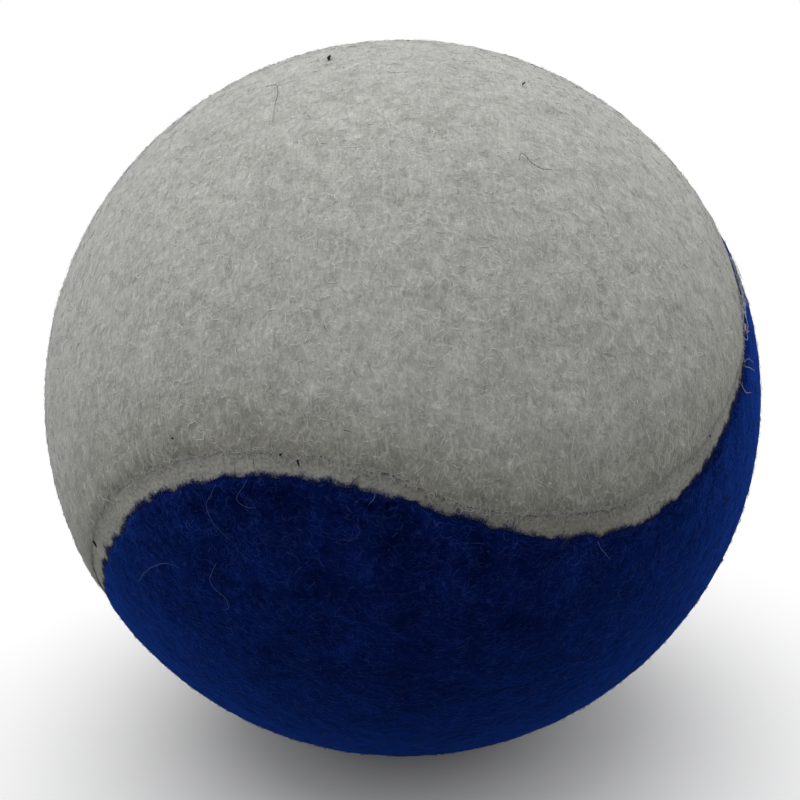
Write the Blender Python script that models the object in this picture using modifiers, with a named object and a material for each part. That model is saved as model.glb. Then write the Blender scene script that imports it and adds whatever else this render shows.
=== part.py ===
"""Dog tennis ball: a rubber core in two halves, two felt panels and the rubber seam between them.

Metres, +Z up. The origin is the centre of the ball. +X runs through the waist of the blue panel
and -X through the waist of the white one, and the seam crosses both ends of the Y and Z axes.
"""

import math

import bmesh
import bpy
import numpy as np

# Driving sizes, in metres and radians
BALL_DIAMETER = 0.065  # over the nap of the felt
FELT_THICKNESS = 0.0027  # backing and nap together
CORE_WALL = 0.0036
PANEL_WAIST = 0.0424  # across a panel's narrowest place, from seam line to seam line, over the nap
SEAM_SLOPE = math.radians(19.0)  # tilt of the seam, against the X axis, where it crosses -Y
SEAM_WIDTH = 0.0016  # from panel edge to panel edge, over the nap
SEAM_DEPTH = 0.0006  # from the nap down to the seam's edges
SEAM_DISH = 0.00015  # from the seam's edges down to its middle line
SEAM_EDGE_ROUND = 0.00015
NAP_ROUND = 0.0009  # rounding of a panel's outer edge
BOND_THICKNESS = 0.0004
BOND_BEAD = 0.0012  # across the bead of cement pressed out inside the core
FIT_GAP = 0.0003  # between pieces that lie against each other

# Fineness of the meshes
SEAM_STEPS = 96  # points round the seam, a multiple of 8 so that both halves of a panel match
FINE_STEPS = 64  # finer points for each of those, to space them evenly
NUDGE = 0.0001  # step that finds the seam's direction
WELD = 0.00001  # points nearer than this are one
PANEL_RINGS = 7  # rings of faces from a panel's rim to its spine
SPINE_SHARE = 0.72  # length of the spine against the panel's own length
TURN_STEPS = 48
SHELL_STEPS = 10
BEAD_STEPS = 6
NAP_STEPS = 3
SEAM_ROUND_STEPS = 2
SHARP_ANGLE = math.radians(40)

BALL_RADIUS = BALL_DIAMETER / 2
CORE_RADIUS = BALL_RADIUS - FELT_THICKNESS - FIT_GAP
HOLLOW_RADIUS = CORE_RADIUS - CORE_WALL
RIM_HEIGHT = BOND_THICKNESS / 2 + FIT_GAP
LAID_RADIUS = CORE_RADIUS + FIT_GAP  # underside of the felt and of the seam
EDGE_ANGLE = SEAM_WIDTH / BALL_DIAMETER  # from the seam line to a panel's edge
SEAM_ANGLE = EDGE_ANGLE - FIT_GAP / LAID_RADIUS  # from the seam line to the seam strip's edge

for old in list(bpy.data.objects):
    bpy.data.objects.remove(old, do_unlink=True)

parts = bpy.data.collections.new("dog_tennis_ball")
bpy.context.scene.collection.children.link(parts)


def material(name, colour, roughness):
    made = bpy.data.materials.new(name)
    made.use_nodes = True
    shader = made.node_tree.nodes["Principled BSDF"]
    shader.inputs["Base Color"].default_value = (*colour, 1.0)
    shader.inputs["Roughness"].default_value = roughness
    shader.inputs["Metallic"].default_value = 0.0
    return made


def add_part(name, bm, finish):
    """The part that a bmesh holds, as a smooth-shaded object in the ball's collection."""
    mesh = bpy.data.meshes.new(name)
    bm.to_mesh(mesh)
    bm.free()
    mesh.shade_smooth()
    mesh.set_sharp_from_angle(angle=SHARP_ANGLE)
    mesh.materials.append(finish)
    part = bpy.data.objects.new(name, mesh)
    parts.objects.link(part)
    return part


def turn(part):
    """Turns a profile in the XZ plane round the Z axis."""
    screw = part.modifiers.new("turned", "SCREW")
    screw.axis = "Z"
    screw.steps = TURN_STEPS
    screw.render_steps = TURN_STEPS
    screw.use_merge_vertices = True
    screw.merge_threshold = WELD


def profile(points, closed):
    bm = bmesh.new()
    verts = [bm.verts.new((x, 0, z)) for x, z in points]
    for start, end in zip(verts, verts[1:]):
        bm.edges.new((start, end))
    if closed:
        bm.edges.new((verts[-1], verts[0]))
    return bm


def arc(radius, start, end, steps, centre=0.0):
    """Points of an arc about (centre, 0) in the XZ plane, from one angle above +X to another."""
    angles = np.linspace(start, end, steps + 1)
    return [(centre + radius * math.cos(a), radius * math.sin(a)) for a in angles]


# The core: two identical bowls, rim to rim
def core_half(name, finish):
    outer = arc(CORE_RADIUS, math.pi / 2, math.asin(RIM_HEIGHT / CORE_RADIUS), SHELL_STEPS)
    inner = arc(HOLLOW_RADIUS, math.asin(RIM_HEIGHT / HOLLOW_RADIUS), math.pi / 2, SHELL_STEPS)
    half = add_part(name, profile(outer + inner, closed=False), finish)
    turn(half)
    return half


core_half("core_upper_half", material("core_rubber_upper", (0.115, 0.105, 0.092), 0.75))
lower_half = core_half("core_lower_half", material("core_rubber_lower", (0.115, 0.105, 0.092), 0.75))
lower_half.rotation_euler = (math.pi, 0, 0)


# The cement between the rims, flush outside and with a bead inside
def core_bond():
    half = BOND_THICKNESS / 2
    bead = BOND_BEAD / 2
    neck = math.asin(half / bead)
    centre = HOLLOW_RADIUS - FIT_GAP - bead
    outside = [(CORE_RADIUS, half), (CORE_RADIUS, -half)]
    inside = arc(bead, -neck, neck - 2 * math.pi, BEAD_STEPS, centre)
    finish = material("rubber_cement", (0.30, 0.25, 0.17), 0.6)
    ring = add_part("core_bond", profile(outside + inside, closed=True), finish)
    turn(ring)


core_bond()


# The seam line, on which both panels and the seam strip are set out
def seam_line():
    """Evenly spaced directions along the seam, and at each the direction across it to the blue side."""
    waist = math.tan(PANEL_WAIST / BALL_DIAMETER)
    slope = math.tan(SEAM_SLOPE)
    sway = 2 / (3 * waist + 2 * slope)
    curl = 1 - sway * waist

    def at(turn_angle):
        x = sway * np.sin(2 * turn_angle)
        y = np.sin(turn_angle) - curl * np.sin(3 * turn_angle)
        z = -np.cos(turn_angle) - curl * np.cos(3 * turn_angle)
        line = np.stack([x, y, z], axis=1)
        return line / np.linalg.norm(line, axis=1, keepdims=True)

    fine = np.linspace(0, 2 * math.pi, FINE_STEPS * SEAM_STEPS + 1)
    lengths = np.linalg.norm(np.diff(at(fine), axis=0), axis=1)
    run = np.concatenate([[0], np.cumsum(lengths)])
    even = np.interp(np.arange(SEAM_STEPS) / SEAM_STEPS * run[-1], run, fine)
    across = np.cross(at(even), at(even + NUDGE) - at(even - NUDGE))
    return at(even), across / np.linalg.norm(across, axis=1, keepdims=True)


LINE, ACROSS = seam_line()


def beside_seam(angle):
    """The seam line moved towards the blue side by an angle seen from the centre."""
    return LINE * math.cos(angle) + ACROSS * math.sin(angle)


def loft(rings):
    """An open sheet on the unit ball through closed rings of matching points."""
    bm = bmesh.new()
    loops = [[bm.verts.new(point) for point in ring] for ring in rings]
    for lower, upper in zip(loops, loops[1:]):
        for i in range(SEAM_STEPS):
            j = (i + 1) % SEAM_STEPS
            bm.faces.new((lower[i], lower[j], upper[j], upper[i]))
    bmesh.ops.remove_doubles(bm, verts=bm.verts, dist=WELD)
    return bm


def lay(bm, thickness):
    """Lays a unit sheet on the core, thickens it outwards and marks its outer rims for rounding.

    Returns the outer points that lie between the rims.
    """
    rounding = bm.edges.layers.float.new("bevel_weight_edge")
    bmesh.ops.scale(bm, vec=(LAID_RADIUS,) * 3, verts=bm.verts)
    made = bmesh.ops.extrude_face_region(bm, geom=bm.faces[:])["geom"]
    outer = [item for item in made if isinstance(item, bmesh.types.BMVert)]
    faces = {item for item in made if isinstance(item, bmesh.types.BMFace)}
    edges = [item for item in made if isinstance(item, bmesh.types.BMEdge)]
    bmesh.ops.scale(bm, vec=(1 + thickness / LAID_RADIUS,) * 3, verts=outer)
    rims = [edge for edge in edges if not faces.issuperset(edge.link_faces)]
    for edge in rims:
        edge[rounding] = 1.0
    bmesh.ops.recalc_face_normals(bm, faces=bm.faces[:])
    on_rims = {vert for edge in rims for vert in edge.verts}
    return [vert for vert in outer if vert not in on_rims]


def round_outer_rims(part, width, steps):
    bevel = part.modifiers.new("outer rims", "BEVEL")
    bevel.limit_method = "WEIGHT"
    bevel.width = width
    bevel.segments = steps


# The felt: one dog-bone blank for both panels, closed along the spine from lobe to lobe
def felt_panel(name, finish):
    waist = np.array((1.0, 0.0, 0.0))
    lobe = np.array((0.0, -1.0, -1.0)) / math.sqrt(2)
    rim = beside_seam(EDGE_ANGLE)
    along = SPINE_SHARE * np.arctan2(rim @ lobe, rim @ waist)
    spine = np.outer(np.cos(along), waist) + np.outer(np.sin(along), lobe)
    border = beside_seam(EDGE_ANGLE + 2 * NAP_ROUND / BALL_RADIUS)
    rings = [rim]
    for share in np.linspace(0, 1, PANEL_RINGS):
        ring = border * (1 - share) + spine * share
        rings.append(ring / np.linalg.norm(ring, axis=1, keepdims=True))
    bm = loft(rings)
    lay(bm, FELT_THICKNESS)
    panel = add_part(name, bm, finish)
    round_outer_rims(panel, NAP_ROUND, NAP_STEPS)
    return panel


felt_panel("blue_felt_panel", material("blue_felt", (0.006, 0.022, 0.150), 0.95))
white_panel = felt_panel("white_felt_panel", material("white_felt", (0.45, 0.45, 0.42), 0.95))
white_panel.rotation_euler = (0, math.pi, 0)


# The seam: a strip of rubber vulcanised into the gap, sunk below the nap and dished along its middle
def panel_seam():
    strip_top = BALL_RADIUS - SEAM_DEPTH
    bm = loft([beside_seam(-SEAM_ANGLE), LINE, beside_seam(SEAM_ANGLE)])
    middle = lay(bm, strip_top - LAID_RADIUS)
    bmesh.ops.scale(bm, vec=(1 - SEAM_DISH / strip_top,) * 3, verts=middle)
    strip = add_part("panel_seam", bm, material("seam_rubber", (0.24, 0.235, 0.205), 0.7))
    round_outer_rims(strip, SEAM_EDGE_ROUND, SEAM_ROUND_STEPS)


panel_seam()
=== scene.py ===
"""Dog tennis ball: rubber core, rubber seam, two felt panels with their nap, and the lint of use."""

import math

import bmesh
import bpy
import numpy as np
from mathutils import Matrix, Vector, noise


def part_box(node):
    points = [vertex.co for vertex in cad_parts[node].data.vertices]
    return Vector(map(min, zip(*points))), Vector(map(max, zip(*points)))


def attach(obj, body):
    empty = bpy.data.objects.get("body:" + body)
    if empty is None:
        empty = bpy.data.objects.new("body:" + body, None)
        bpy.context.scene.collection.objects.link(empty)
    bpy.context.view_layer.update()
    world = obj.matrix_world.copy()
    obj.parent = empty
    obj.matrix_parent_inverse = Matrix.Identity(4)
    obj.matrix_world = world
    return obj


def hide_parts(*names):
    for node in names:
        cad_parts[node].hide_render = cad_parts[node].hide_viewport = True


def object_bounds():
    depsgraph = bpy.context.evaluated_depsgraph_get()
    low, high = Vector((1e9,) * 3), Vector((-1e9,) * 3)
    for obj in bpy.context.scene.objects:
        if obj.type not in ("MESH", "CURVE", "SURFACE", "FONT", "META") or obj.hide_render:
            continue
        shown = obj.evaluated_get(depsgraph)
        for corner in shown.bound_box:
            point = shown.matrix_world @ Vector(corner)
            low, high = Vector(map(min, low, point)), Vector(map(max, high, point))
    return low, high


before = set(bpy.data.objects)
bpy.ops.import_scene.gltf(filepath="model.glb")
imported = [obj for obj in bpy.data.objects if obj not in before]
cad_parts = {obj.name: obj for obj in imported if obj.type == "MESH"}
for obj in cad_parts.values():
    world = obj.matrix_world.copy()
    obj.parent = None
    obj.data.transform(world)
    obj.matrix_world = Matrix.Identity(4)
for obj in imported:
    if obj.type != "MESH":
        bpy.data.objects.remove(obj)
cad_box = [list(corner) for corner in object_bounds()]


# The core: two bowls of moulded rubber, rim to rim, which give the ball its bounce.
# The rubber is a dull brown-black, with talc left from the mould, and roughened for the cement.
# Both bowls stay as the frame holds them, hidden under the felt, and only get their finish here.
BARE_RUBBER = (0.030, 0.026, 0.022)
TALCED_RUBBER = (0.115, 0.105, 0.092)
TALC_PATCH = 0.006
CORE_GRAIN = 0.0004
CORE_RELIEF = 0.00004


def add(tree, kind, inputs=None, **settings):
    """Adds a node to a tree. An input given as a socket is linked, and any other is set."""
    node = tree.nodes.new(kind)
    for name, value in settings.items():
        setattr(node, name, value)
    for name, value in (inputs or {}).items():
        if isinstance(value, bpy.types.NodeSocket):
            tree.links.new(value, node.inputs[name])
        else:
            node.inputs[name].default_value = value
    return node


def new_finish(name, **sockets):
    """A material with a Principled shader, whose plain values are given by socket name."""
    finish = bpy.data.materials.new(name)
    finish.use_nodes = True
    shader = finish.node_tree.nodes["Principled BSDF"]
    for socket, value in sockets.items():
        shader.inputs[socket.replace("_", " ")].default_value = value
    return finish, finish.node_tree, shader


def grey(level):
    return (level, level, level)


def ramp(tree, factor, *stops):
    """A colour ramp with the given (place, colour) stops, and its colour socket."""
    node = add(tree, "ShaderNodeValToRGB", {"Fac": factor})
    elements = node.color_ramp.elements
    while len(elements) < len(stops):
        elements.new(0.5)
    for element, (place, colour) in zip(elements, stops):
        element.position = place
        element.color = (*colour, 1.0)
    return node.outputs["Color"]


def grain(tree, where, size, detail=3.0, distortion=0.0, roughness=0.5):
    """Noise whose lumps are about the given size, in metres."""
    inputs = {
        "Vector": where,
        "Scale": 1 / size,
        "Detail": detail,
        "Roughness": roughness,
        "Distortion": distortion,
    }
    return add(tree, "ShaderNodeTexNoise", inputs).outputs["Fac"]


def bump(tree, shader, height, depth, strength=1.0):
    """Puts a height, from 0 to 1 over the given depth in metres, into the shader's normal."""
    inputs = {"Height": height, "Distance": depth, "Strength": strength}
    node = add(tree, "ShaderNodeBump", inputs)
    tree.links.new(node.outputs["Normal"], shader.inputs["Normal"])


def object_place(tree):
    return add(tree, "ShaderNodeTexCoord").outputs["Object"]


def core_rubber_finish():
    finish, tree, shader = new_finish("core_rubber", Specular_IOR_Level=0.35)
    where = object_place(tree)
    talc = grain(tree, where, TALC_PATCH, detail=5.0, distortion=0.6)
    colour = ramp(tree, talc, (0.35, BARE_RUBBER), (0.75, TALCED_RUBBER))
    tree.links.new(colour, shader.inputs["Base Color"])
    rough = ramp(tree, talc, (0.3, grey(0.55)), (0.8, grey(0.9)))
    tree.links.new(rough, shader.inputs["Roughness"])
    bump(tree, shader, grain(tree, where, CORE_GRAIN), CORE_RELIEF)
    return finish


def wear(node_name, finish):
    """Gives a CAD node its finish."""
    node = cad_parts[node_name]
    node.data.materials.clear()
    node.data.materials.append(finish)


core_rubber = core_rubber_finish()
wear("core_upper_half", core_rubber)
wear("core_lower_half", core_rubber)


# The bond: a ring of cured rubber cement between the two rims, with a bead pressed out inside.
# It is amber and slightly glossy where the cement skinned over.
CEMENT_DARK = (0.20, 0.15, 0.085)
CEMENT_PALE = (0.36, 0.30, 0.20)
CEMENT_CLOT = 0.0025
CEMENT_RIPPLE = 0.0012
CEMENT_RELIEF = 0.0001


def cement_finish():
    finish, tree, shader = new_finish("rubber_cement", Specular_IOR_Level=0.5)
    where = object_place(tree)
    clots = grain(tree, where, CEMENT_CLOT, detail=4.0, distortion=0.4)
    colour = ramp(tree, clots, (0.3, CEMENT_DARK), (0.7, CEMENT_PALE))
    tree.links.new(colour, shader.inputs["Base Color"])
    rough = ramp(tree, clots, (0.3, grey(0.35)), (0.7, grey(0.6)))
    tree.links.new(rough, shader.inputs["Roughness"])
    bump(tree, shader, grain(tree, where, CEMENT_RIPPLE), CEMENT_RELIEF)
    return finish


wear("core_bond", cement_finish())


# The seam: a strip of pale rubber compound, pressed and vulcanised into the gap between the panels.
# It runs on a little under both felts, lies just below the nap and dishes along its middle.
# Its skin is matte, faintly streaked along its run, and dirt has settled beside the white felt; the dark
# line at that felt's edge is partly dirt and partly painted shade.
BALL_RADIUS = cad_box[1][0]
CORE_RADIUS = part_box("core_bond")[1][0]
CEMENT_FILM = 0.0003  # between the core and what lies on it
PANEL_WAIST = 0.0424  # across a panel's narrowest place, from seam line to seam line
SEAM_SLOPE = math.radians(19.0)  # against the X axis, where the seam crosses -Y
SEAM_WIDTH = 0.0016  # from panel edge to panel edge
SEAM_DEPTH = 0.00034  # from the nap down to the strip's edges
SEAM_DISH = 0.00006
SEAM_TUCK = 0.0011  # of the strip under each panel
SEAM_RIPPLE = (0.00004, 0.0022)  # its height and its size
SEAM_STEPS = 960
STRIP_ROWS = 25
FINE_STEPS = 32  # finer points for each step, to space the steps evenly
NUDGE = 0.0001  # step that finds the seam's direction
WELD = 0.000001
EDGE_ANGLE = SEAM_WIDTH / 2 / BALL_RADIUS
EDGE_COVER = 0.00016  # of the seam's width by the edge of each felt
PANEL_FRAY = {1: 0.00070, -1: 0.00035}  # raggedness of the blue edge and of the white one
# Sizes of the waves, lobes, rags and wisps along a cut edge.
EDGE_WAVE = 0.0045
EDGE_LOBE = 0.0028
EDGE_RAG = 0.0008
EDGE_WISP = 0.00045
# The panels were laid by hand, so here and there an edge leans away from the even line: the panel's
# side, the azimuth and elevation, how far it leans towards the blue side, and over what distance.
EDGE_LEANS = (
    (1, (26.0, -3.5), 0.00080, 0.0045),
    (1, (-46.0, -17.0), 0.00080, 0.0070),
    (-1, (1.5, -0.5), 0.00042, 0.0042),
    (-1, (51.0, 14.0), 0.00080, 0.0055),
    (1, (60.0, 24.0), -0.00120, 0.0060),
    (-1, (-43.0, -6.0), -0.00045, 0.0060),
)
RUBBER_DARK = (0.315, 0.313, 0.288)
RUBBER_PALE = (0.39, 0.388, 0.358)
RUBBER_PATCH = 0.004
RUBBER_GRAIN = 0.0003
RUBBER_RELIEF = 0.00003
STREAK_SHADE = (0.90, 0.90, 0.88)
STREAK_LENGTH = 0.0035
STREAK_WIDTH = 0.0002
CRUMB_SHADE = (0.72, 0.72, 0.70)
CRUMB_SIZE = 0.00022
SPECK_SHADE = (0.12, 0.115, 0.10)
SPECK_SIZE = 0.00034
SOILED_PLACE = (9.0, -2.5)  # azimuth and elevation of the dirtiest stretch
SOILED_REACH = (0.0145, 0.006)  # from there to where the dirt ends, and to where it is thickest
SOILED_SHADE = (0.77, 0.76, 0.74)
# Colour of the line along the white felt's edge: dirt, and painted shade in the crease under that edge.
DIRT_AND_SHADE_COLOUR = (0.06, 0.056, 0.046)
DIRT_AND_SHADE_LINE = (0.00020, 0.00005)  # from the white edge to the end of the line of dirt and painted shade, and to its full strength
# size of the breaks in that line
LINE_BREAK_SIZE = 0.0011
DIRT_GROOVE = (0.00004, 0.00011, 0.00007)  # place from the white edge, half width and depth
DIRT_GAP = 0.0016  # size of the breaks in the groove


def unit(vectors):
    return vectors / np.linalg.norm(vectors, axis=-1, keepdims=True)


def seam_line(steps):
    """Evenly spaced directions along the seam, and at each the direction across it to the blue side."""
    waist = math.tan(PANEL_WAIST / 2 / BALL_RADIUS)
    sway = 2 / (3 * waist + 2 * math.tan(SEAM_SLOPE))
    curl = 1 - sway * waist

    def at(angle):
        x = sway * np.sin(2 * angle)
        y = np.sin(angle) - curl * np.sin(3 * angle)
        z = -np.cos(angle) - curl * np.cos(3 * angle)
        return unit(np.stack([x, y, z], axis=1))

    fine = np.linspace(0, 2 * math.pi, FINE_STEPS * steps + 1)
    run = np.cumsum(np.linalg.norm(np.diff(at(fine), axis=0), axis=1))
    run = np.concatenate([[0], run])
    even = np.interp(np.arange(steps) / steps * run[-1], run, fine)
    return at(even), unit(np.cross(at(even), at(even + NUDGE) - at(even - NUDGE)))


SEAM_LINE, SEAM_ACROSS = seam_line(SEAM_STEPS)


def noise_at(points, size, offset=0.0):
    """Smooth noise from about -1 to 1 at each point, with lumps of the given size in metres.

    Another offset gives another pattern.
    """
    moved = points / size + offset
    return np.array([noise.noise(Vector(p)) for p in moved])


def beside(line, across, angle):
    """A line on the unit ball moved towards the blue side by an angle, or by one for each point."""
    angle = np.broadcast_to(np.asarray(angle, float), len(line))[:, None]
    return line * np.cos(angle) + across * np.sin(angle)


def on_ball(azimuth, elevation):
    """The direction at an angle round from -Y towards +X, and an angle up, both in degrees."""
    round_z, up = math.radians(azimuth), math.radians(elevation)
    return np.array((math.sin(round_z) * math.cos(up), -math.cos(round_z) * math.cos(up), math.sin(up)))


def cut_edge(line, side):
    """How far a panel's cut edge wanders at each place, as an angle towards the blue side.

    side is 1 for the blue panel, round +X, and -1 for the white one, round -X.
    """
    points = line * BALL_RADIUS
    offset = 11.0 * side
    waves = noise_at(points, EDGE_WAVE, offset)
    lobes = np.abs(noise_at(points, EDGE_LOBE, 3 + offset)) - 0.25
    ragged = noise_at(points, EDGE_RAG, 5 + offset) + 0.7 * noise_at(points, EDGE_WISP, 9 + offset)
    wander = -side * PANEL_FRAY[side] * (0.6 * waves + lobes + 0.22 * ragged)
    for leaning, place, lean, width in EDGE_LEANS:
        if leaning == side:
            apart = np.linalg.norm(line - on_ball(*place), axis=1) * BALL_RADIUS
            wander = wander + lean * np.exp(-((apart / width) ** 2))
    return wander / BALL_RADIUS


def extruded_rings(rings, marks, closed_section):
    """A bmesh that starts from a circle laid on the first ring and is extruded from ring to ring.

    Each point also gets a mark, three numbers that its finish reads.
    """
    bm = bmesh.new()
    step = bm.verts.layers.int.new("step")
    mark = bm.verts.layers.float_vector.new("mark")
    circle = bmesh.ops.create_circle(bm, segments=len(rings[0]), radius=1)["verts"]
    for i, vert in enumerate(circle):
        vert[step] = i
        vert.co = rings[0][i]
        vert[mark] = marks[0][i]
    edges = bm.edges[:]
    for ring, ring_marks in zip(rings[1:], marks[1:]):
        made = bmesh.ops.extrude_edge_only(bm, edges=edges)["geom"]
        edges = [item for item in made if isinstance(item, bmesh.types.BMEdge)]
        for vert in made:
            if isinstance(vert, bmesh.types.BMVert):
                vert.co = ring[vert[step]]
                vert[mark] = ring_marks[vert[step]]
    if closed_section:
        bmesh.ops.bridge_loops(bm, edges=[edge for edge in bm.edges if edge.is_boundary])
    bmesh.ops.remove_doubles(bm, verts=bm.verts, dist=WELD)
    bmesh.ops.recalc_face_normals(bm, faces=bm.faces)
    return bm


def add_piece(name, bm, finish):
    """The smooth-shaded object that a bmesh makes, riding on the ball."""
    mesh = bpy.data.meshes.new(name)
    bm.to_mesh(mesh)
    bm.free()
    mesh.shade_smooth()
    mesh.materials.append(finish)
    piece = bpy.data.objects.new(name, mesh)
    bpy.context.scene.collection.objects.link(piece)
    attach(piece, "root")
    return piece


def mix_colour(tree, blend, factor, first, second):
    """Mixes two colours, each a socket or a plain value, and returns the result's socket."""
    inputs = {0: factor}
    for index, colour in ((6, first), (7, second)):
        inputs[index] = colour if isinstance(colour, bpy.types.NodeSocket) else (*colour, 1.0)
    return add(tree, "ShaderNodeMix", inputs, data_type="RGBA", blend_type=blend).outputs[2]


def spread(tree, value, start, end):
    """A value stretched so that start becomes 0 and end becomes 1, and held between them."""
    inputs = {"Value": value, "From Min": start, "From Max": end}
    return add(tree, "ShaderNodeMapRange", inputs).outputs["Result"]


def math_node(tree, operation, *values):
    return add(tree, "ShaderNodeMath", dict(enumerate(values)), operation=operation).outputs[0]


def vector_node(tree, operation, *values):
    return add(tree, "ShaderNodeVectorMath", dict(enumerate(values)), operation=operation).outputs[0]


def measure_node(tree, operation, *values):
    """A vector node that gives a number, such as a length."""
    node = add(tree, "ShaderNodeVectorMath", dict(enumerate(values)), operation=operation)
    return node.outputs["Value"]


def along_axis(tree, vector, axis):
    return add(tree, "ShaderNodeSeparateXYZ", {"Vector": vector}).outputs[axis]


def mark_of(tree):
    """The three numbers that extruded_rings gave to each point."""
    return add(tree, "ShaderNodeAttribute", attribute_name="mark").outputs["Vector"]


def seam_rubber_finish():
    finish, tree, shader = new_finish("seam_rubber", Roughness=0.75, Specular_IOR_Level=0.12)
    where = object_place(tree)
    patches = grain(tree, where, RUBBER_PATCH, detail=4.0, distortion=0.5)
    colour = ramp(tree, patches, (0.3, RUBBER_DARK), (0.7, RUBBER_PALE))
    apart = measure_node(tree, "DISTANCE", where, on_ball(*SOILED_PLACE) * BALL_RADIUS)
    soiled = spread(tree, apart, *SOILED_REACH)
    grimy = math_node(tree, "POWER", soiled, 3.0)
    colour = mix_colour(tree, "MULTIPLY", grimy, colour, SOILED_SHADE)
    run = mark_of(tree)
    drawn = vector_node(tree, "MULTIPLY", run, (1 / STREAK_LENGTH, 1 / STREAK_LENGTH, 1 / STREAK_WIDTH))
    streaks = ramp(tree, grain(tree, drawn, 1.0, detail=2.0), (0.30, STREAK_SHADE), (0.60, grey(1.0)))
    colour = mix_colour(tree, "MULTIPLY", 1.0, colour, streaks)
    crumbs = ramp(tree, grain(tree, where, CRUMB_SIZE), (0.30, CRUMB_SHADE), (0.62, grey(1.12)))
    colour = mix_colour(tree, "MULTIPLY", 1.0, colour, crumbs)
    # The dark line along the white felt's edge: partly dirt, partly painted shade in the crease under that
    # edge, broken up and strongest where the strip is soiled.
    edge = spread(tree, along_axis(tree, run, "Z"), *DIRT_AND_SHADE_LINE)
    broken = spread(tree, grain(tree, where, LINE_BREAK_SIZE, detail=2.0), 0.46, 0.57)
    share = math_node(tree, "MULTIPLY_ADD", soiled, 0.8, 0.2)
    dirt_and_shade = math_node(tree, "MULTIPLY", math_node(tree, "MULTIPLY", edge, broken), share)
    colour = mix_colour(tree, "MIX", dirt_and_shade, colour, DIRT_AND_SHADE_COLOUR)
    specks = spread(tree, grain(tree, where, SPECK_SIZE, detail=1.0), 0.25, 0.19)
    colour = mix_colour(tree, "MIX", specks, colour, SPECK_SHADE)
    tree.links.new(colour, shader.inputs["Base Color"])
    bump(tree, shader, grain(tree, where, RUBBER_GRAIN), RUBBER_RELIEF, strength=0.6)
    return finish


def seam_strip():
    """The strip as one closed band round the ball.

    The marks are each point's place along the strip, on a hoop of its length, and how far it lies
    from the white felt's edge.
    """
    half = EDGE_ANGLE + SEAM_TUCK / BALL_RADIUS
    base = CORE_RADIUS + CEMENT_FILM
    turn = np.linspace(0, 2 * math.pi, SEAM_STEPS, endpoint=False)
    length = np.linalg.norm(SEAM_LINE - np.roll(SEAM_LINE, 1, axis=0), axis=1).sum() * BALL_RADIUS
    hoop = np.stack([np.cos(turn), np.sin(turn)], axis=1) * length / (2 * math.pi)
    apart = np.linalg.norm(SEAM_LINE - on_ball(*SOILED_PLACE), axis=1) * BALL_RADIUS
    worn = np.clip(0.55 + 1.2 * noise_at(SEAM_LINE * BALL_RADIUS, DIRT_GAP, 5.0), 0.1, 1.0)
    worn *= np.interp(apart, SOILED_REACH[::-1], (1.0, 0.3))
    white_edge = (cut_edge(SEAM_LINE, -1) - EDGE_ANGLE) * BALL_RADIUS + EDGE_COVER
    groove_place, groove_width, groove_depth = DIRT_GROOVE
    rings = [beside(SEAM_LINE, SEAM_ACROSS, -half) * base]
    marks = [np.column_stack([hoop, -half * BALL_RADIUS - white_edge])]
    for share in np.linspace(-1, 1, STRIP_ROWS):
        directions = beside(SEAM_LINE, SEAM_ACROSS, share * half)
        from_white = share * half * BALL_RADIUS - white_edge
        ripple = SEAM_RIPPLE[0] * noise_at(directions * BALL_RADIUS, SEAM_RIPPLE[1])
        groove = groove_depth * worn * np.exp(-(((from_white - groove_place) / groove_width) ** 2))
        height = BALL_RADIUS - SEAM_DEPTH - SEAM_DISH * (1 - share**2) - groove + ripple
        rings.append(directions * height[:, None])
        marks.append(np.column_stack([hoop, from_white]))
    rings.append(beside(SEAM_LINE, SEAM_ACROSS, half) * base)
    marks.append(marks[-1])
    strip = add_piece("seam_strip", extruded_rings(rings, marks, True), seam_rubber_finish())
    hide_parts("panel_seam")


seam_strip()


# The white panel: a dog-bone blank of needled felt, stretched over the core and cemented down.
# It is a dense mat of curly white fibres, in small tufts, with painted shade in the gaps and pits between
# them.
# The mat is one closed sheet, and its loose fibres stand on it as strands of their own.
FELT_SINK = 0.00015  # of the mat below the ball's full radius
WHITE_ROUND = (0.0016, 0.00022)  # width and drop of the shoulder along the cut edge
FRAY_FADE = 0.0015  # how far inside the edge its wandering dies away
EDGE_SHADE_WIDTH = 0.0066  # how far inside the cut edge the felt takes painted shade, a little warm with dirt, and deeper pits
PANEL_STEPS = 1280
PANEL_RINGS = 42
SHOULDER_RINGS = 10
UNDER_RINGS = 7
SPINE_SHARE = 0.72  # length of the spine against the panel's own length
BIG_TUFT = (0.00003, 0.0026)  # height and size
SMALL_TUFT = (0.00005, 0.0011)
SOFT_TUFT = 0.0016
PIT_SIZE = 0.0007
CLOUD_SIZE = 0.0035
TUFT_WEIGHT = 1.2  # of the tufts in the felt's shade
CURL_RELIEF = 0.12  # height of the filaments and of the streaks, against the tufts
STREAK_RELIEF = 0.4
SWAY_SIZE = 0.0006
FILAMENT = 0.000011  # sets how thick the filaments are drawn
STREAK_BEND = 0.00025  # how far the streaks bend
FIBRE_STREAK = (0.00011, 0.0008, 0.0008)  # size of a streak across and along the way it is combed
# The ways in which the streaks are combed, as turns of the pattern.
STREAK_TURNS = ((0.0, 0.0, 0.0), (0.0, 0.4, 0.3), (0.0, -0.4, -0.3), (0.3, 0.0, 1.4), (-0.3, 0.0, 1.8))
# Layers of filaments: the size of their curls, a shift that keeps the layers apart, and the level
# of the noise that they follow.
CURL_LAYERS = (
    (0.00034, 0.013, 0.47),
    (0.00045, 0.029, 0.53),
    (0.0006, 0.041, 0.5),
    (0.0008, 0.057, 0.49),
)


def tufts(points):
    """Height of the mat above its mean, in metres: tufts of two sizes."""
    big = BIG_TUFT[0] * noise_at(points, BIG_TUFT[1])
    return big + SMALL_TUFT[0] * noise_at(points, SMALL_TUFT[1], 7.3)


def shoulder(inset, rounding):
    """How far the mat falls below its full height near its edge. rounding is its width and its drop."""
    return rounding[1] * np.clip(1 - inset / rounding[0], 0, 1) ** 2


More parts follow.
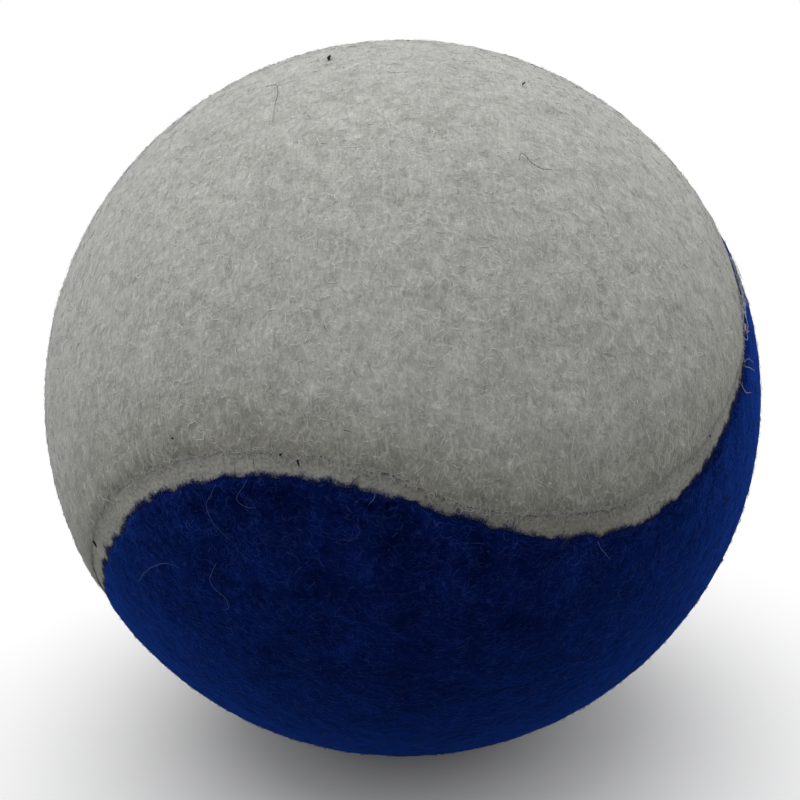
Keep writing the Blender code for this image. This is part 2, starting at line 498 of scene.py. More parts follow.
def felt_mat(name, side, rounding, finish):
    """A panel's closed sheet: out from its spine underneath, up the cut edge, and back in over the top.

    The mark of a point on the top is how far inside the cut edge it lies.
    """
    line, across = seam_line(PANEL_STEPS)
    waist = np.array((side, 0.0, 0.0))
    lobe = np.array((0.0, -1.0, -side)) / math.sqrt(2)
    wander = cut_edge(line, side)

    def inside(inset):
        even = side * (EDGE_ANGLE + (inset - EDGE_COVER) / BALL_RADIUS)
        return beside(line, across, even + wander * math.exp(-inset / FRAY_FADE))

    def marked(inset):
        return np.column_stack([np.broadcast_to(inset, PANEL_STEPS), np.zeros((PANEL_STEPS, 2))])

    rim = beside(line, across, side * EDGE_ANGLE)
    along = SPINE_SHARE * np.arctan2(rim @ lobe, rim @ waist)
    spine = np.outer(np.cos(along), waist) + np.outer(np.sin(along), lobe)
    low = CORE_RADIUS + CEMENT_FILM
    full = BALL_RADIUS - FELT_SINK
    border = inside(rounding[0])
    rings = [unit(border * (1 - share) + spine * share) * low for share in np.linspace(1, 0, UNDER_RINGS)]
    rings.append(inside(0) * low)
    marks = [marked(0.0)] * len(rings)
    for turn in np.linspace(0, math.pi / 2, SHOULDER_RINGS, endpoint=False):
        inset = rounding[0] * (1 - math.cos(turn))
        directions = inside(inset)
        radius = full - shoulder(inset, rounding) + math.sin(turn) * tufts(directions * full)
        rings.append(directions * radius[:, None])
        marks.append(marked(inset))
    for share in np.linspace(0, 1, PANEL_RINGS):
        directions = unit(border * (1 - share) + spine * share)
        rings.append(directions * (full + tufts(directions * full))[:, None])
        apart = np.linalg.norm(directions - border, axis=1) * BALL_RADIUS
        marks.append(marked(rounding[0] + apart))
    return add_piece(name, extruded_rings(rings, marks, False), finish)


def turned(tree, place, turn):
    """A place swung about the ball's centre by three angles."""
    inputs = {"Vector": place, "Rotation": turn}
    return add(tree, "ShaderNodeVectorRotate", inputs, rotation_type="EULER_XYZ").outputs[0]


def felt_pattern():
    """A node group that draws matted felt: combed streaks, curly filaments, soft tufts, and the pits that
    take painted shade.
    """
    group = bpy.data.node_groups.new("matted_fibres", "ShaderNodeTree")
    for name in ("Place", "Sway", "Draw", "Breaks"):
        group.interface.new_socket(name, in_out="INPUT", socket_type="NodeSocketVector")
    for name in ("Streaks", "Curls", "Tufts", "Pits"):
        group.interface.new_socket(name, in_out="OUTPUT", socket_type="NodeSocketFloat")
    given = add(group, "NodeGroupInput").outputs
    place = given["Place"]
    inputs = {"Vector": place, "Scale": 1 / SWAY_SIZE, "Detail": 1.0}
    sway = add(group, "ShaderNodeTexNoise", inputs).outputs["Color"]
    curled = vector_node(group, "MULTIPLY_ADD", sway, given["Sway"], place)
    drawn_out = vector_node(group, "MULTIPLY", curled, given["Draw"])
    curls = 0.0
    for size, shift, level in CURL_LAYERS:
        moved = vector_node(group, "ADD", drawn_out, (shift, -shift, 0.5 * shift))
        away = math_node(group, "SUBTRACT", grain(group, moved, size, detail=0.0), level)
        thin = spread(group, math_node(group, "ABSOLUTE", away), FILAMENT / size + 0.015, 0.0)
        parted = vector_node(group, "MULTIPLY", moved, given["Breaks"])
        fades = spread(group, grain(group, parted, size, detail=1.0), 0.44, 0.64)
        curls = math_node(group, "MAXIMUM", curls, math_node(group, "MULTIPLY", thin, fades))
    bent = vector_node(group, "MULTIPLY_ADD", sway, grey(STREAK_BEND), place)
    streaks = 0.0
    for turn in STREAK_TURNS:
        drawn = vector_node(group, "DIVIDE", turned(group, bent, turn), FIBRE_STREAK)
        strokes = grain(group, drawn, 1.0, detail=1.0)
        streaks = math_node(group, "MULTIPLY_ADD", strokes, 1 / len(STREAK_TURNS), streaks)
    soft = grain(group, place, SOFT_TUFT, detail=4.0, distortion=0.5, roughness=0.65)
    pits = spread(group, grain(group, curled, PIT_SIZE, detail=2.0), 0.44, 0.28)
    add(group, "NodeGroupOutput", {"Streaks": streaks, "Curls": curls, "Tufts": soft, "Pits": pits})
    return group


MATTED_FIBRES = felt_pattern()


def mat_finish(
    name, turn, sway, draw, breaks, gap_shade, body, light, streaks, curls, pits, clouds, depth, edge, sheen, tint
):
    """Matted felt, from the painted shade of its gaps through its body to its filaments, which carry a
    painted highlight.

    turn swings the pattern, which is drawn upright. Its filaments sway by so much, in metres,
    a smaller draw makes them straighter, and more breaks make them shorter. streaks, curls, pits
    and clouds are how far each part of the pattern shows, and depth is its relief, in metres. The pits take
    the painted shade of the gaps.
    edge is the painted shade along its cut edge, a little warm with dirt, and sheen and tint are its fuzz
    against the light.
    """
    finish, tree, shader = new_finish(
        name,
        Roughness=0.95,
        Specular_IOR_Level=0.0,
        Sheen_Weight=sheen,
        Sheen_Roughness=0.4,
        Sheen_Tint=(*tint, 1.0),
    )
    where = object_place(tree)
    inputs = {
        "Place": turned(tree, where, turn),
        "Sway": grey(sway),
        "Draw": (1.0, 1.0, draw),
        "Breaks": grey(breaks),
    }
    fibres = add(tree, "ShaderNodeGroup", inputs, node_tree=MATTED_FIBRES).outputs
    # The felt's tone follows its tufts and streaks, from its body down to the painted shade where the tufts
    # part.
    level = math_node(tree, "MULTIPLY", fibres["Tufts"], TUFT_WEIGHT)
    level = math_node(tree, "MULTIPLY_ADD", fibres["Streaks"], streaks, level)
    mean = 0.5 * (TUFT_WEIGHT + streaks)
    ground = ramp(tree, spread(tree, level, mean - 0.5, mean + 0.5), (0.0, gap_shade), (1.0, body))
    # Near the cut edge, where the felt rounds down into the seam, painted shade darkens it, a little warm
    # with dirt.
    near = spread(tree, along_axis(tree, mark_of(tree), "X"), EDGE_SHADE_WIDTH, 0.0)
    # The pits take the same painted shade, deeper towards the cut edge.
    pit_shade_strength = math_node(tree, "MULTIPLY_ADD", near, pits, pits)
    pit_shade = math_node(tree, "MULTIPLY", fibres["Pits"], pit_shade_strength)
    colour = mix_colour(tree, "MIX", pit_shade, ground, gap_shade)
    # Painted shade towards the cut edge.
    colour = mix_colour(tree, "MULTIPLY", 1.0, colour, ramp(tree, near, (0.0, grey(1.0)), (1.0, edge)))
    # A painted highlight on the filaments, lighter where they catch the light.
    lit = math_node(tree, "MULTIPLY", fibres["Curls"], curls)
    colour = mix_colour(tree, "MIX", lit, colour, light)
    patches = spread(tree, grain(tree, where, CLOUD_SIZE), 0.3, 0.7)
    patches = ramp(tree, patches, (0.0, grey(1 - clouds)), (1.0, grey(1 + clouds)))
    colour = mix_colour(tree, "MULTIPLY", 1.0, colour, patches)
    tree.links.new(colour, shader.inputs["Base Color"])
    height = math_node(tree, "MULTIPLY_ADD", fibres["Curls"], CURL_RELIEF, fibres["Tufts"])
    height = math_node(tree, "MULTIPLY_ADD", fibres["Streaks"], STREAK_RELIEF, height)
    bump(tree, shader, height, depth)
    return finish


white_felt = mat_finish(
    "white_felt",
    turn=(0.0, 0.0, 0.0),
    sway=0.0003,
    draw=0.42,
    breaks=1.25,
    gap_shade=(0.30, 0.302, 0.278),
    body=(0.582, 0.585, 0.549),
    light=(0.80, 0.80, 0.77),
    streaks=2.7,
    curls=0.42,
    pits=0.36,
    clouds=0.05,
    depth=0.00014,
    edge=(0.69, 0.68, 0.635),
    sheen=0.35,
    tint=(1.0, 1.0, 1.0),
)
white_mat = felt_mat("white_felt_mat", -1, WHITE_ROUND, white_felt)
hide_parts("white_felt_panel")


# The white nap: the loose ends of the panel's fibres, drawn up by the needling and by use.
# Each is a thin curly strand of wool and nylon, rooted in the mat.
# Along the cut edge shorter ends stick out over the seam.
STRAND_SIDES = 3
STRAND_TAPER = ((0, 0.6, 1), (1.0, 0.9, 0.45))  # places along a strand, and its width there
TONES = 24  # columns of the fibres' map, one for each shade
ROOT_DEPTH = 0.00004  # of a fibre's root in the mat
STANDING_SHARE = 0.45  # of the fibres stand up, and the rest lie
STANDING_LENGTH = (0.0003, 0.0006)
STANDING_RISE = (0.5, 0.9)  # angle from the mat at the root, in radians
LYING_RISE = (0.24, 0.14)  # mean and spread of that angle
STANDING_FALL = 1.0  # share of the angle that is lost by the tip
LYING_FALL = 1.7
BOLD_SHARE = 0.08  # of the fibres are thicker and paler
BOLD_WIDTH = 1.6
NAP_BEND = 2.6
NAP_TONES = (2.0, 2.4)
TRIES = 5  # random places for each fibre that is wanted
GATHER_SIZE = 0.0012
SWIRL_SIZE = 0.003
NAP_MOST = 7500  # fibres in one piece
FRINGE_MOST = 9000
FRINGE_DEPTH = 0.00022  # of the fringe's roots inside the cut edge
FRINGE_TUFT = 0.0007
FRINGE_BEND = 3.6
FRINGE_LIFT = 0.00002  # of its lowest roots above the seam


def strand_template(rings):
    """One straight strand as a closed tube: its vertices and its faces."""
    bm = bmesh.new()
    bmesh.ops.create_circle(bm, segments=STRAND_SIDES, radius=1, cap_ends=True)
    edges = bm.edges[:]
    for _ in range(rings - 1):
        made = bmesh.ops.extrude_edge_only(bm, edges=edges)["geom"]
        edges = [item for item in made if isinstance(item, bmesh.types.BMEdge)]
        raised = [item for item in made if isinstance(item, bmesh.types.BMVert)]
        bmesh.ops.translate(bm, vec=(0, 0, 1), verts=raised)
    bmesh.ops.holes_fill(bm, edges=edges, sides=0)
    bmesh.ops.recalc_face_normals(bm, faces=bm.faces)
    bm.verts.index_update()
    co = np.array([vert.co for vert in bm.verts])
    faces = [[vert.index for vert in face.verts] for face in bm.faces]
    bm.free()
    return co, faces


def strand_piece(name, paths, width, tones, finish):
    """Many strands as one piece, each a copy of the template laid along its path.

    paths is (strand, ring, 3), and tones from 0 to 1 pick each one's column of the map. The shading
    leans outwards, so that a strand takes the light as the nap round it does.
    """
    rings = paths.shape[1]
    co, faces = strand_template(rings)
    ring = np.rint(co[:, 2]).astype(int)
    angle = np.arctan2(co[:, 1], co[:, 0])
    step = np.rint((angle - angle[0]) / (2 * math.pi / STRAND_SIDES)).astype(int) % STRAND_SIDES
    taper = np.interp(np.linspace(0, 1, rings), *STRAND_TAPER)
    along = unit(np.gradient(paths, axis=1))
    side = unit(np.cross(along, unit(paths)))
    lift = np.cross(along, side)
    radius = (width / 2)[:, None, None] * taper[ring][None, :, None]
    around = np.cos(angle)[None, :, None] * side[:, ring] + np.sin(angle)[None, :, None] * lift[:, ring]
    points = paths[:, ring] + radius * around
    shading = unit(0.4 * around + unit(points))
    count, per = len(paths), len(co)
    u, v = [], []
    for face in faces:
        wraps = len(face) == 4 and {0, STRAND_SIDES - 1} <= {step[i] for i in face}
        for i in face:
            u.append((STRAND_SIDES if wraps and step[i] == 0 else step[i]) / STRAND_SIDES)
            v.append(ring[i] / (rings - 1) + (0.02 * step[i] if len(face) == 3 else 0))
    mesh = bpy.data.meshes.new(name)
    mesh.vertices.add(count * per)
    mesh.vertices.foreach_set("co", points.astype(np.float32).ravel())
    corners = np.concatenate(faces)[None] + per * np.arange(count)[:, None]
    mesh.loops.add(corners.size)
    mesh.loops.foreach_set("vertex_index", corners.astype(np.int32).ravel())
    sizes = np.tile([len(face) for face in faces], count)
    mesh.polygons.add(len(sizes))
    starts = np.concatenate([[0], np.cumsum(sizes)[:-1]])
    mesh.polygons.foreach_set("loop_start", starts.astype(np.int32))
    # Each strand is laid in its shade's column of the map, clear of the column's sides.
    column = np.floor(np.clip(tones, 0, 0.999) * TONES)
    uv = np.empty((count, len(u), 2), np.float32)
    uv[:, :, 0] = (column[:, None] + 0.1 + 0.8 * np.array(u)[None]) / TONES
    uv[:, :, 1] = 0.02 + 0.92 * np.array(v)[None]
    layer = mesh.uv_layers.new(name="OFBake")
    mesh.update()
    layer.uv.foreach_set("vector", uv.ravel())
    mesh.validate()
    mesh.shade_smooth()
    mesh.normals_split_custom_set_from_vertices(shading.reshape(-1, 3))
    mesh.materials.append(finish)
    piece = bpy.data.objects.new(name, mesh)
    bpy.context.scene.collection.objects.link(piece)
    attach(piece, "root")
    return piece


def strand_pieces(name, most, paths, width, tones, finish):
    """Strands shared out over numbered pieces of at most so many each."""
    shares = np.array_split(np.arange(len(paths)), math.ceil(len(paths) / most))
    return [
        strand_piece(f"{name}_{i + 1}", paths[share], width[share], tones[share], finish)
        for i, share in enumerate(shares)
    ]


def strand_finish(name, dark, body, light, roughness):
    """Single fibres. The shade comes from each one's column of the map, and painted shade darkens the roots
    where they sink into the mat.
    """
    finish, tree, shader = new_finish(name, Roughness=roughness, Specular_IOR_Level=0.04)
    place = add(tree, "ShaderNodeUVMap", uv_map="OFBake").outputs["UV"]
    shade = ramp(tree, along_axis(tree, place, "X"), (0.0, dark), (0.45, body), (1.0, light))
    # Painted shade at the root, where the fibre sinks into the mat.
    root = ramp(tree, along_axis(tree, place, "Y"), (0.0, grey(0.75)), (0.6, grey(1.0)))
    tree.links.new(mix_colour(tree, "MULTIPLY", 1.0, shade, root), shader.inputs["Base Color"])
    return finish


def scatter(rng, count, side):
    """Random directions on one panel, and how far inside its edge each lies, in metres."""
    directions = unit(rng.normal(size=(TRIES * count, 3)))
    gather = 0.6 + 0.9 * noise_at(directions * BALL_RADIUS, GATHER_SIZE, 41.0)
    directions = directions[rng.random(len(directions)) < np.clip(gather, 0.2, 1.0)]
    nearest = np.argmax(directions @ SEAM_LINE.T, axis=1)
    inset = np.arcsin(np.sum(directions * SEAM_ACROSS[nearest], axis=1)) * side - EDGE_ANGLE
    kept = np.flatnonzero(inset > 0)[:count]
    return directions[kept], inset[kept] * BALL_RADIUS


def curl_paths(rng, roots, heading, length, rise, bend, rings, fall=LYING_FALL):
    """Paths of curly strands from these roots, each setting off along its own tangent.

    rise is a strand's angle from the mat at its root, and fall is the share of it that is lost by
    the tip: past 1 the tip bends down again.
    """
    count = len(roots)
    up = unit(roots)
    heading = unit(heading - up * np.sum(heading * up, axis=1, keepdims=True))
    aside = np.cross(up, heading)
    turn = rng.normal(size=count) * bend
    wobble = np.cumsum(rng.normal(size=(count, rings)) * 1.1 / math.sqrt(rings), axis=1)
    step = (length / (rings - 1))[:, None]
    paths = [roots]
    for k in range(1, rings):
        share = k / (rings - 1)
        angle = (turn * (share - 0.5) + wobble[:, k])[:, None]
        climb = (rise * (1 - fall * share))[:, None]
        flat = np.cos(angle) * heading + np.sin(angle) * aside
        paths.append(paths[-1] + step * (np.cos(climb) * flat + np.sin(climb) * up))
    return np.stack(paths, axis=1)


def nap(name, side, seed, count, rings, rounding, comb, tangle, reach, width, finish):
    """A panel's loose fibres, which lie along the way they were combed or stand up as short ends.

    tangle is how far they stray from that way and bend.
    """
    rng = np.random.default_rng(seed)
    directions, inset = scatter(rng, count, side)
    places = directions * BALL_RADIUS
    surface = BALL_RADIUS - FELT_SINK - shoulder(inset, rounding) + tufts(places)
    comb = np.array(comb)
    lying = unit(comb - directions * (directions @ comb)[:, None])
    swirl = tangle * (noise_at(places, SWIRL_SIZE, 21.0) * 1.5 + rng.normal(size=count) * 0.8)
    swirl += rng.choice((0.0, math.pi), count)
    heading = np.cos(swirl)[:, None] * lying + np.sin(swirl)[:, None] * np.cross(directions, lying)
    stands = rng.random(count) < STANDING_SHARE
    length = np.where(stands, rng.uniform(*STANDING_LENGTH, count), rng.uniform(*reach, count))
    rise = np.where(stands, rng.uniform(*STANDING_RISE, count), np.abs(rng.normal(*LYING_RISE, count)))
    fall = np.where(stands, STANDING_FALL, LYING_FALL)
    roots = directions * (surface - ROOT_DEPTH)[:, None]
    paths = curl_paths(rng, roots, heading, length, rise, NAP_BEND * tangle, rings, fall)
    widths = rng.uniform(*width, count)
    tones = rng.beta(*NAP_TONES, count)
    bold = rng.random(count) < BOLD_SHARE
    widths[bold] *= BOLD_WIDTH
    tones[bold] = rng.uniform(0.75, 1.0, bold.sum())
    return strand_pieces(name, NAP_MOST, paths, widths, tones, finish)


def fringe(name, side, seed, count, rings, reach, rise, width, rounding, tones, finish):
    """Short curly ends that stick out of a panel's cut edge and lie over the seam, in tufts."""
    rng = np.random.default_rng(seed)
    place = rng.uniform(0, SEAM_STEPS, count)
    first = place.astype(int)
    share = (place - first)[:, None]
    after = (first + 1) % SEAM_STEPS
    line = unit(SEAM_LINE[first] * (1 - share) + SEAM_LINE[after] * share)
    across = unit(SEAM_ACROSS[first] * (1 - share) + SEAM_ACROSS[after] * share)
    tuft = np.clip(0.5 + 1.1 * noise_at(line * BALL_RADIUS, FRINGE_TUFT, 31.0), 0.1, 1.2)
    inset = rng.uniform(0.0, FRINGE_DEPTH, count)
    wander = cut_edge(line, side)
    roots = beside(line, across, side * (EDGE_ANGLE + (inset - EDGE_COVER) / BALL_RADIUS) + wander)
    slip = rng.normal(size=count) * 1.1
    heading = -side * across * np.cos(slip)[:, None] + np.cross(across, line) * np.sin(slip)[:, None]
    on_seam = BALL_RADIUS - SEAM_DEPTH + FRINGE_LIFT
    height = np.maximum(BALL_RADIUS - FELT_SINK - shoulder(inset, rounding), on_seam)
    length = rng.uniform(0.4, 1.0, count) * reach * (0.4 + tuft)
    climb = rng.normal(rise, 0.3, count)
    paths = curl_paths(rng, roots * height[:, None], heading, length, climb, FRINGE_BEND, rings)
    widths = rng.uniform(*width, count)
    shades = rng.beta(*tones, count)
    return strand_pieces(name, FRINGE_MOST, paths, widths, shades, finish)


white_fibre = strand_finish(
    "white_fibre",
    dark=(0.50, 0.50, 0.47),
    body=(0.59, 0.59, 0.56),
    light=(0.90, 0.90, 0.88),
    roughness=0.6,
)
white_nap = nap(
    "white_nap",
    side=-1,
    seed=4101,
    count=28000,
    rings=4,
    rounding=WHITE_ROUND,
    comb=(0.0, 0.5, 0.87),
    tangle=0.6,
    reach=(0.0006, 0.0018),
    width=(0.000015, 0.000027),
    finish=white_fibre,
)
white_nap += fringe(
    "white_fringe",
    side=-1,
    seed=4102,
    count=9000,
    rings=4,
    reach=0.0009,
    rise=0.15,
    width=(0.000018, 0.000030),
    rounding=WHITE_ROUND,
    tones=(1.6, 3.6),
    finish=white_fibre,
)


# The blue panel: the same blank in dyed blue felt, turned half round to lock with the white one.
# The dye is deep, the gaps between its tufts carry a painted shade that is nearly black, and its nap is
# more tangled.
# Its cut edge is ragged, with a dense dark fringe.
BLUE_ROUND = (0.0009, 0.00028)
blue_felt = mat_finish(
    "blue_felt",
    turn=(0.0, math.pi / 2, 0.0),
    sway=0.0006,
    draw=0.85,
    breaks=0.77,
    gap_shade=(0.0002, 0.0012, 0.020),
    body=(0.0035, 0.0150, 0.120),
    light=(0.0200, 0.0385, 0.185),
    streaks=1.3,
    curls=0.62,
    pits=0.5,
    clouds=0.42,
    depth=0.00020,
    edge=(0.76, 0.76, 0.76),
    sheen=1.0,
    tint=(0.020, 0.097, 0.60),
)
blue_mat = felt_mat("blue_felt_mat", 1, BLUE_ROUND, blue_felt)
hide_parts("blue_felt_panel")
blue_fibre = strand_finish(
    "blue_fibre",
    dark=(0.0010, 0.0055, 0.045),
    body=(0.005, 0.017, 0.11),
    light=(0.036, 0.065, 0.225),
    roughness=0.6,
)
blue_nap = nap(
    "blue_nap",
    side=1,
    seed=5203,
    count=19000,
    rings=5,
    rounding=BLUE_ROUND,
    comb=(1.0, 0.0, 0.1),
    tangle=1.0,
    reach=(0.0005, 0.0015),
    width=(0.000018, 0.000032),
    finish=blue_fibre,
)
blue_edge_fibre = strand_finish(
    "blue_edge_fibre",
    dark=(0.0014, 0.0055, 0.045),
    body=(0.005, 0.016, 0.10),
    light=(0.024, 0.050, 0.23),
    roughness=0.6,
)
blue_nap += fringe(
    "blue_fringe",
    side=1,
    seed=5204,
    count=24000,
    rings=3,
    reach=0.00070,
    rise=0.15,
    width=(0.000015, 0.000032),
    rounding=BLUE_ROUND,
    tones=(1.4, 2.0),
    finish=blue_edge_fibre,
)


# The lint: bits of dirt, dark hairs and white fibres shed by one panel that cling to the other.
# They lie loose on the nap, held only by its fibres.
STRAY_RINGS = 14
STRAY_LENGTH = (0.0012, 0.0042)
STRAY_WIDTH = (0.000014, 0.000022)
STRAY_LIFT = 0.00010  # at most above or below the ball's full radius
STRAY_BEND = 1.8
STRAY_FRONT = -0.5  # Y of a direction, below which it belongs to the front
THREAD_JITTER = (0.00009, 0.0006)  # how far a thread strays from its route, and over what distance
BIG_SPECK = 0.00032
SMALL_SPECK = 0.00016
COMBED_REACH = 0.0038  # of the combed fibres' roots along the seam, from their middle
COMBED_INSET = 0.0006  # of the roots to either side of the white edge
COMBED_LENGTH = (0.0012, 0.0028)
COMBED_WIDTH = (0.00003, 0.00005)
COMBED_ROOT = 0.0001  # below the ball's full radius, where their paths are worked out
COMBED_DEPTH = 0.00014  # at most below it, where they are laid
COMBED_BEND = 4.5
COMBED_RINGS = 9


def through(spots, rings):
    """A smooth curve through these points."""
    ends = np.concatenate([[2 * spots[0] - spots[1]], spots, [2 * spots[-1] - spots[-2]]])
    # The curve stops just short of the last spot, which keeps its index inside the list.
    at = np.linspace(0, len(spots) - 1.0001, rings)
    first = at.astype(int)
    share = (at - first)[:, None]
    a, b, c, d = (ends[first + i] for i in range(4))
    bent = (2 * a - 5 * b + 4 * c - d) * share**2 + (3 * b - a - 3 * c + d) * share**3
    return (2 * b + (c - a) * share + bent) / 2


def threads(name, routes, lift, width, finish):
    """Threads laid along routes of (azimuth, elevation) spots, a little above the nap."""
    paths = []
    for route in routes:
        spots = np.array([on_ball(*spot) for spot in route])
        curve = unit(through(spots, STRAY_RINGS)) * (BALL_RADIUS + lift)
        jitter = [noise_at(curve, THREAD_JITTER[1], offset) for offset in (61.0, 67.0, 71.0)]
        paths.append(curve + THREAD_JITTER[0] * np.stack(jitter, axis=1))
    count = len(paths)
    widths = np.broadcast_to(width, count)
    return strand_piece(name, np.array(paths), widths, np.linspace(0.2, 0.9, count), finish)


def loose_threads(name, side, seed, count, finish):
    """Long thin strays that lie anywhere on one panel but its front."""
    rng = np.random.default_rng(seed)
    directions, _ = scatter(rng, 2 * count, side)
    directions = directions[directions[:, 1] > STRAY_FRONT][:count]
    count = len(directions)
    heading = rng.normal(size=(count, 3))
    length = rng.uniform(*STRAY_LENGTH, count)
    roots = directions * BALL_RADIUS
    flat = curl_paths(rng, roots, heading, length, np.zeros(count), STRAY_BEND, STRAY_RINGS)
    lift = rng.uniform(-STRAY_LIFT, STRAY_LIFT, (count, 1))
    paths = unit(flat) * (BALL_RADIUS + lift)[:, :, None]
    widths = rng.uniform(*STRAY_WIDTH, count)
    return strand_piece(name, paths, widths, rng.random(count), finish)


dark_lint = strand_finish(
    "dark_lint",
    dark=(0.012, 0.012, 0.011),
    body=(0.02, 0.02, 0.018),
    light=(0.035, 0.034, 0.03),
    roughness=0.7,
)
threads(
    "dark_specks",
    [
        [(-24.2, 61.0), (-24.6, 62.1)],
        [(-30.1, 5.4), (-29.8, 5.3)],
        [(36.0, 3.8), (36.3, 3.6)],
        [(-14.7, 4.3), (-14.6, 3.6)],
        [(-16.8, 4.7), (-16.4, 4.9)],
        [(-48.4, -10.9), (-48.0, -11.8)],
        [(22.3, 53.3), (23.4, 54.1)],
    ],
    lift=0.00003,
    width=[BIG_SPECK] + [SMALL_SPECK] * 6,
    finish=dark_lint,
)
long_hair = [(13.3, 38.3), (13.7, 39.2), (14.3, 39.3), (15.0, 38.0)]
long_hair += [(16.0, 37.3), (17.0, 37.1), (18.2, 36.9), (19.8, 37.0)]
threads(
    "dark_hairs",
    [
        long_hair,
        [(-34.0, 53.1), (-31.5, 53.2), (-29.0, 51.0), (-27.4, 47.8), (-25.9, 44.5)],
        [(-12.4, 18.4), (-12.2, 18.0), (-12.0, 17.8)],
        [(-9.8, 7.6), (-9.0, 7.3)],
        [(-19.7, 4.0), (-19.6, 3.0)],
    ],
    lift=0.00007,
    width=0.00004,
    finish=dark_lint,
)
pale_lint = strand_finish(
    "pale_lint",
    dark=(0.05, 0.09, 0.26),
    body=(0.10, 0.15, 0.36),
    light=(0.24, 0.30, 0.50),
    roughness=0.6,
)
hooked_hair = [(-25.1, -8.5), (-26.4, -10.7), (-26.1, -11.9), (-25.0, -12.6)]
hooked_hair += [(-24.5, -13.7), (-24.6, -14.5), (-25.5, -14.8)]
threads(
    "pale_hairs",
    [
        [(-24.2, 0.8), (-25.2, -0.7), (-25.6, -1.7), (-25.3, -2.9), (-24.2, -4.2), (-22.8, -5.4)],
        [(-20.5, 1.7), (-21.5, 0.2), (-21.7, -0.5), (-21.1, -1.1), (-20.3, -1.3), (-19.5, -1.3)],
        hooked_hair,
        [(-38.7, -13.8), (-37.1, -12.3), (-34.5, -10.6), (-32.5, -9.9), (-30.6, -10.1)],
        [(18.3, -5.9), (19.0, -6.9), (20.4, -8.4)],
        [(-6.8, 1.5), (-6.7, 0.7), (-7.2, -0.1)],
    ],
    lift=0.00010,
    width=0.000026,
    finish=pale_lint,
)
loose_threads("loose_hairs", 1, seed=6301, count=60, finish=pale_lint)


def combed_over(name, spot, seed, count, finish):
    """White fibres that were brushed over the seam, round one spot, onto the blue."""
    rng = np.random.default_rng(seed)
    apart = np.linalg.norm(SEAM_LINE - spot, axis=1) * BALL_RADIUS
    near = rng.choice(np.flatnonzero(apart < COMBED_REACH), count)
    line = SEAM_LINE[near]
    across = SEAM_ACROSS[near]
    inset = rng.uniform(-COMBED_INSET, COMBED_INSET, count)
    roots = beside(line, across, -EDGE_ANGLE - inset / BALL_RADIUS) * (BALL_RADIUS - COMBED_ROOT)
    heading = across + rng.normal(size=(count, 3)) * 0.6
    length = rng.uniform(*COMBED_LENGTH, count)
    flat = curl_paths(rng, roots, heading, length, np.zeros(count), COMBED_BEND, COMBED_RINGS)
    lift = rng.uniform(-COMBED_DEPTH, 0.0, (count, 1))
    paths = unit(flat) * (BALL_RADIUS + lift)[:, :, None]
    widths = rng.uniform(*COMBED_WIDTH, count)
    return strand_piece(name, paths, widths, rng.uniform(0.7, 1, count), finish)


combed_over(
    "combed_fibres",
    on_ball(54.0, 21.0),
    seed=6302,
    count=60,
    finish=white_fibre,
)
threads(
    "edge_hairs",
    [
        [(46.6, 11.9), (47.4, 11.6), (49.2, 11.8), (51.3, 11.1)],
        [(47.0, 11.2), (47.8, 10.9), (50.0, 10.4), (52.0, 9.8)],
        [(44.6, 9.4), (45.2, 9.0), (46.6, 7.8), (48.8, 7.4)],
    ],
    lift=0.00010,
    width=0.00003,
    finish=white_fibre,
)


# The studio: a plain pale floor, a broad soft lamp overhead and a graded sky.
# The camera stands close to the ball and a little above it, as the photograph was taken.
VIEW_AZIMUTH = math.radians(-3.75)
VIEW_ELEVATION = math.radians(10.9)
VIEW_DISTANCE = 2.4 * BALL_RADIUS
SENSOR_WIDTH = 36.0  # in millimetres, as Blender has it
NEAREST_SEEN = 0.01
FRAME_PIXELS = 800
BALL_PIXELS = 360  # radius of the ball in the frame
BALL_CENTRE = (402.7, 398.1)  # and its centre, in pixels from the top left
FLOOR_HALF = 3.0
FLOOR_LIT = 0.22  # grey of the floor for the light that it throws back onto the ball
FLOOR_SEEN = 0.96
FLOOR_FADE = (0.035, 0.11)  # from the ball's centre to where the floor starts to whiten, and is white
LAMP_SIZE = 0.9
LAMP_POWER = 2.8
LAMP_PLACE = (-0.12, -0.05, 0.75)
SKY_AHEAD = (0.20, -0.93, -0.3)
SKY_SHADES = ((0.0, 0.42), (0.42, 1.18), (0.64, 0.98), (0.90, 0.04))  # from the far side to SKY_AHEAD
SKY_FOOT = 0.05  # from so far above the horizon to as far below it, the sky fades out


def studio_camera():
    data = bpy.data.cameras.new("camera")
    camera = bpy.data.objects.new("camera", data)
    bpy.context.scene.collection.objects.link(camera)
    flat = math.cos(VIEW_ELEVATION)
    back = Vector((math.sin(VIEW_AZIMUTH) * flat, -math.cos(VIEW_AZIMUTH) * flat, math.sin(VIEW_ELEVATION)))
    camera.location = back * VIEW_DISTANCE
    camera.rotation_euler = (-back).to_track_quat("-Z", "Y").to_euler()
    half_angle = math.asin(BALL_RADIUS / VIEW_DISTANCE)
    data.sensor_width = SENSOR_WIDTH
    data.lens = SENSOR_WIDTH * BALL_PIXELS / FRAME_PIXELS / math.tan(half_angle)
    data.shift_x = (FRAME_PIXELS / 2 - BALL_CENTRE[0]) / FRAME_PIXELS
    data.shift_y = (BALL_CENTRE[1] - FRAME_PIXELS / 2) / FRAME_PIXELS
    data.clip_start = NEAREST_SEEN
    bpy.context.scene.camera = camera


def seen_directly(tree):
    """1 for rays from the camera, mirrors and glass, and 0 for the light that surfaces scatter."""
    path = add(tree, "ShaderNodeLightPath").outputs
    seen = math_node(tree, "MAXIMUM", path["Is Camera Ray"], path["Is Glossy Ray"])
    return math_node(tree, "MAXIMUM", seen, path["Is Transmission Ray"])


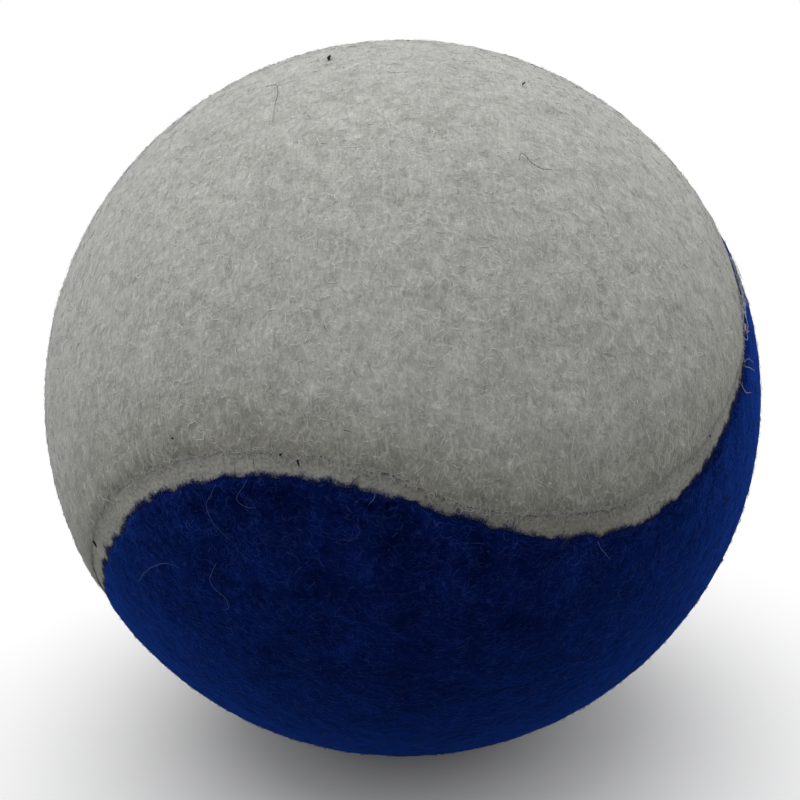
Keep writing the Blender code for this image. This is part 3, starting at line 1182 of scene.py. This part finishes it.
def studio_floor():
    """The floor, which takes the ball's shadow and turns into the white background further out."""
    bm = bmesh.new()
    bmesh.ops.create_grid(bm, x_segments=8, y_segments=8, size=FLOOR_HALF)
    bmesh.ops.translate(bm, vec=(0, 0, cad_box[0][2]), verts=bm.verts)
    finish, tree, shader = new_finish(
        "studio_floor", Roughness=0.9, Specular_IOR_Level=0.0, Emission_Color=(1.0, 1.0, 1.0, 1.0)
    )
    seen = seen_directly(tree)
    apart = measure_node(tree, "LENGTH", object_place(tree))
    inputs = {"Value": apart, "From Min": FLOOR_FADE[0], "From Max": FLOOR_FADE[1]}
    far = add(tree, "ShaderNodeMapRange", inputs, interpolation_type="SMOOTHSTEP").outputs["Result"]
    white = math_node(tree, "MULTIPLY", far, seen)
    shade = mix_colour(tree, "MIX", seen, grey(FLOOR_LIT), grey(FLOOR_SEEN))
    colour = mix_colour(tree, "MIX", white, shade, grey(0.0))
    tree.links.new(colour, shader.inputs["Base Color"])
    tree.links.new(white, shader.inputs["Emission Strength"])
    mesh = bpy.data.meshes.new("studio_floor")
    bm.to_mesh(mesh)
    bm.free()
    mesh.materials.append(finish)
    floor = bpy.data.objects.new("studio_floor", mesh)
    bpy.context.scene.collection.objects.link(floor)


def studio_light():
    """The lamp, and a sky that is white to the camera and graded round the ball in what it gives."""
    lamp = bpy.data.lights.new("overhead", "AREA")
    lamp.shape = "DISK"
    lamp.size = LAMP_SIZE
    lamp.energy = LAMP_POWER
    holder = bpy.data.objects.new("overhead", lamp)
    holder.location = LAMP_PLACE
    holder.rotation_euler = (-holder.location).to_track_quat("-Z", "Y").to_euler()
    bpy.context.scene.collection.objects.link(holder)
    world = bpy.data.worlds.new("surround")
    bpy.context.scene.world = world
    world.use_nodes = True
    tree = world.node_tree
    towards = add(tree, "ShaderNodeTexCoord").outputs["Generated"]
    ahead = measure_node(tree, "DOT_PRODUCT", towards, SKY_AHEAD)
    stops = [(place, grey(level)) for place, level in SKY_SHADES]
    sides = ramp(tree, spread(tree, ahead, -1.0, 1.0), *stops)
    above = spread(tree, along_axis(tree, towards, "Z"), -SKY_FOOT, SKY_FOOT)
    glow = mix_colour(tree, "MULTIPLY", 1.0, sides, above)
    shade = mix_colour(tree, "MIX", seen_directly(tree), glow, grey(1.0))
    tree.links.new(shade, tree.nodes["Background"].inputs["Color"])


studio_camera()
studio_floor()
studio_light()
bpy.context.scene.view_settings.view_transform = "Standard"
